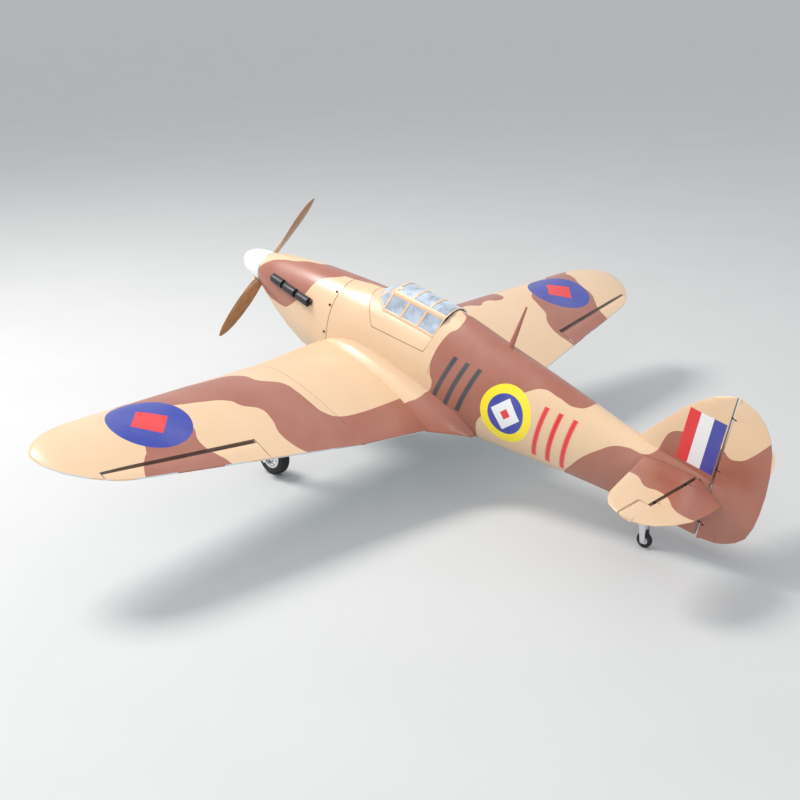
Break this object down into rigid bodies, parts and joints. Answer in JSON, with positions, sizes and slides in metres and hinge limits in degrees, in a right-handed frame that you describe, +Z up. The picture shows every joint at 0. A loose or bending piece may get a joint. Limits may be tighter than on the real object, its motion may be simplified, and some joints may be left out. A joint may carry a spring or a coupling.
{
  "type": "radio-controlled warbird aeroplane",
  "caption": "Low-wing radio-controlled scale fighter aeroplane with folding wheels, moving control surfaces, lift-off canopy and wooden propeller, in brown camouflage.",
  "frame": {"origin": "on the ground, midway between the spinner's tip and the rudder's trailing edge, on the centre line", "axes": "+Z up from the ground, -Y towards the nose, +X towards the aircraft's left wing tip; the aircraft sits tail-down on its three wheels"},
  "size_m": [2, 1.5796, 0.61],
  "materials": {
    "camouflage_film": "satin heat-shrink covering in two browns",
    "camouflage_wing": "balsa-skinned foam core under satin covering",
    "pale_film": "satin pale grey-blue covering",
    "plywood": "bare birch plywood",
    "prop_wood": "varnished laminated wood",
    "spinner_paint": "gloss white",
    "sooty_black": "matt black",
    "bare_steel": "plain",
    "alloy": "satin machined",
    "motor_steel": "dark anodised",
    "polished_strut": "polished",
    "tyre_rubber": "smooth",
    "clear_canopy": "clear moulded sheet",
    "cockpit_grey": "matt dark green-grey",
    "seat_brown": "worn brown",
    "battery_wrap": "shrink wrap",
    "servo_case": "moulded black"
  },
  "bodies": {
    "airframe": {"fuselage_shell": "camouflage_film", "fuselage_formers": "plywood", "engine_cowl": "camouflage_film", "cowl_screws": "bare_steel", "exhaust_stubs": "sooty_black", "motor_stator": "motor_steel", "speed_controller": "servo_case", "equipment_trays": "plywood", "battery_pack": "battery_wrap", "receiver": "servo_case", "servos": "servo_case", "belly_pan": "pale_film", "belly_radiator": "pale_film", "wing_centre_section": "camouflage_wing", "wing_joiner_tube": "alloy", "wing_fillets": "camouflage_film", "outer_wing_left": "camouflage_wing", "outer_wing_right": "camouflage_wing", "tailplane": "camouflage_wing", "fin": "camouflage_wing", "radio_mast": "camouflage_film", "hinge_wires": "bare_steel", "retract_units": "alloy", "tail_wheel_bracket": "alloy"},
    "propeller_group": {"spinner_cone": "spinner_paint", "spinner_backplate": "alloy", "propeller": "prop_wood", "motor_bell": "motor_steel"},
    "canopy_hatch": {"hatch_base": "camouflage_film", "canopy_glass": "clear_canopy", "canopy_frame": "camouflage_film", "cockpit_tub": "cockpit_grey", "pilot_seat": "seat_brown"},
    "aileron_left": {"aileron_left": "camouflage_wing"},
    "aileron_right": {"aileron_right": "camouflage_wing"},
    "aileron_arm_left": {"aileron_arm_left": "servo_case"},
    "aileron_arm_right": {"aileron_arm_right": "servo_case"},
    "aileron_rod_left": {"aileron_rod_left": "bare_steel"},
    "aileron_rod_right": {"aileron_rod_right": "bare_steel"},
    "elevators": {"elevator_left": "camouflage_wing", "elevator_right": "camouflage_wing", "elevator_joiner": "bare_steel"},
    "rudder": {"rudder": "camouflage_wing"},
    "flap_inner_left": {"flap_inner_left": "pale_film"},
    "flap_inner_right": {"flap_inner_right": "pale_film"},
    "flap_outer_left": {"flap_outer_left": "pale_film"},
    "flap_outer_right": {"flap_outer_right": "pale_film"},
    "gear_left": {"gear_leg_left": "alloy", "gear_door_left": "pale_film"},
    "gear_right": {"gear_leg_right": "alloy", "gear_door_right": "pale_film"},
    "oleo_left": {"oleo_left": "polished_strut"},
    "oleo_right": {"oleo_right": "polished_strut"},
    "wheel_left": {"wheel_hub_left": "alloy", "tyre_left": "tyre_rubber"},
    "wheel_right": {"wheel_hub_right": "alloy", "tyre_right": "tyre_rubber"},
    "tail_steer": {"tail_wheel_fork": "alloy"},
    "tail_roller": {"tail_wheel": "alloy", "tail_tyre": "tyre_rubber"}
  },
  "joints": [
    {"name": "propeller_spin", "type": "hinge", "parent": "airframe", "child": "propeller_group", "pos_m": [0, -0.70485, 0.43947], "axis": [0, 0.9766, -0.2151], "continuous": true},
    {"name": "hatch_lift", "type": "slide", "parent": "airframe", "child": "canopy_hatch", "axis": [0, 0.2151, 0.9766], "range_m": [0, 0.15]},
    {"name": "aileron_left_hinge", "type": "hinge", "parent": "airframe", "child": "aileron_left", "pos_m": [0.551, -0.11668, 0.23434], "axis": [0.9895, -0.1107, 0.0927], "range_deg": [-25, 25]},
    {"name": "aileron_right_hinge", "type": "hinge", "parent": "airframe", "child": "aileron_right", "pos_m": [-0.551, -0.11668, 0.23434], "axis": [0.9895, 0.1107, -0.0927], "range_deg": [-25, 25]},
    {"name": "aileron_arm_left_turn", "type": "hinge", "parent": "airframe", "child": "aileron_arm_left", "pos_m": [0.70401, -0.22923, 0.26541], "axis": [0.9895, -0.1107, 0.0927], "range_deg": [-25, 25]},
    {"name": "aileron_arm_right_turn", "type": "hinge", "parent": "airframe", "child": "aileron_arm_right", "pos_m": [-0.70401, -0.22923, 0.26541], "axis": [0.9895, 0.1107, -0.0927], "range_deg": [-25, 25]},
    {"name": "aileron_rod_left_pin", "type": "hinge", "parent": "aileron_arm_left", "child": "aileron_rod_left", "pos_m": [0.7056, -0.23458, 0.24207], "axis": [0.9895, -0.1107, 0.0927], "range_deg": [-25, 25]},
    {"name": "aileron_rod_right_pin", "type": "hinge", "parent": "aileron_arm_right", "child": "aileron_rod_right", "pos_m": [-0.7056, -0.23458, 0.24207], "axis": [0.9895, 0.1107, -0.0927], "range_deg": [-25, 25]},
    {"name": "elevator_hinge", "type": "hinge", "parent": "airframe", "child": "elevators", "pos_m": [0, 0.6412, 0.19624], "axis": [1, 0, 0], "range_deg": [-25, 25]},
    {"name": "rudder_hinge", "type": "hinge", "parent": "airframe", "child": "rudder", "pos_m": [0, 0.67329, 0.19736], "axis": [0, 0.2151, 0.9766], "range_deg": [-30, 30]},
    {"name": "flap_inner_left_hinge", "type": "hinge", "parent": "airframe", "child": "flap_inner_left", "pos_m": [0.104, -0.05387, 0.19162], "axis": [-0.9829, 0.1769, -0.0513], "range_deg": [0, 50]},
    {"name": "flap_inner_right_hinge", "type": "hinge", "parent": "airframe", "child": "flap_inner_right", "pos_m": [-0.104, -0.05387, 0.19162], "axis": [-0.9829, -0.1769, 0.0513], "range_deg": [0, 50]},
    {"name": "flap_outer_left_hinge", "type": "hinge", "parent": "airframe", "child": "flap_outer_left", "pos_m": [0.318, -0.09229, 0.20319], "axis": [-0.9798, 0.1616, -0.118], "range_deg": [0, 50]},
    {"name": "flap_outer_right_hinge", "type": "hinge", "parent": "airframe", "child": "flap_outer_right", "pos_m": [-0.318, -0.09229, 0.20319], "axis": [-0.9798, -0.1616, 0.118], "range_deg": [0, 50]},
    {"name": "gear_left_retract", "type": "hinge", "parent": "airframe", "child": "gear_left", "pos_m": [0.288, -0.35945, 0.26099], "axis": [0, 0.9766, -0.2151], "range_deg": [0, 90]},
    {"name": "gear_right_retract", "type": "hinge", "parent": "airframe", "child": "gear_right", "pos_m": [-0.288, -0.35945, 0.26099], "axis": [0, 0.9766, -0.2151], "range_deg": [-90, 0]},
    {"name": "oleo_left_travel", "type": "slide", "parent": "gear_left", "child": "oleo_left", "axis": [0, 0.2151, 0.9766], "range_m": [0, 0.015], "stiffness_N_per_m": 8000, "springref_m": -0.006},
    {"name": "oleo_right_travel", "type": "slide", "parent": "gear_right", "child": "oleo_right", "axis": [0, 0.2151, 0.9766], "range_m": [0, 0.015], "stiffness_N_per_m": 8000, "springref_m": -0.006},
    {"name": "wheel_left_roll", "type": "hinge", "parent": "oleo_left", "child": "wheel_left", "pos_m": [0.262, -0.40636, 0.048], "axis": [1, 0, 0], "continuous": true},
    {"name": "wheel_right_roll", "type": "hinge", "parent": "oleo_right", "child": "wheel_right", "pos_m": [-0.262, -0.40636, 0.048], "axis": [1, 0, 0], "continuous": true},
    {"name": "tail_wheel_steer", "type": "hinge", "parent": "airframe", "child": "tail_steer", "pos_m": [0, 0.51079, 0.05908], "axis": [0, 0.2151, 0.9766], "range_deg": [-30, 30]},
    {"name": "tail_wheel_roll", "type": "hinge", "parent": "tail_steer", "child": "tail_roller", "pos_m": [0, 0.51413, 0.018], "axis": [1, 0, 0], "continuous": true}
  ],
  "couplings": [
    {"joint": "aileron_right_hinge", "follows": "aileron_left_hinge", "ratio": -1},
    {"joint": "aileron_arm_left_turn", "follows": "aileron_left_hinge", "ratio": 1},
    {"joint": "aileron_arm_right_turn", "follows": "aileron_left_hinge", "ratio": -1},
    {"joint": "aileron_rod_left_pin", "follows": "aileron_left_hinge", "ratio": -1},
    {"joint": "aileron_rod_right_pin", "follows": "aileron_left_hinge", "ratio": 1},
    {"joint": "flap_inner_right_hinge", "follows": "flap_inner_left_hinge", "ratio": 1},
    {"joint": "flap_outer_left_hinge", "follows": "flap_inner_left_hinge", "ratio": 1},
    {"joint": "flap_outer_right_hinge", "follows": "flap_inner_left_hinge", "ratio": 1},
    {"joint": "gear_right_retract", "follows": "gear_left_retract", "ratio": -1},
    {"joint": "tail_wheel_steer", "follows": "rudder_hinge", "ratio": 1}
  ]
}
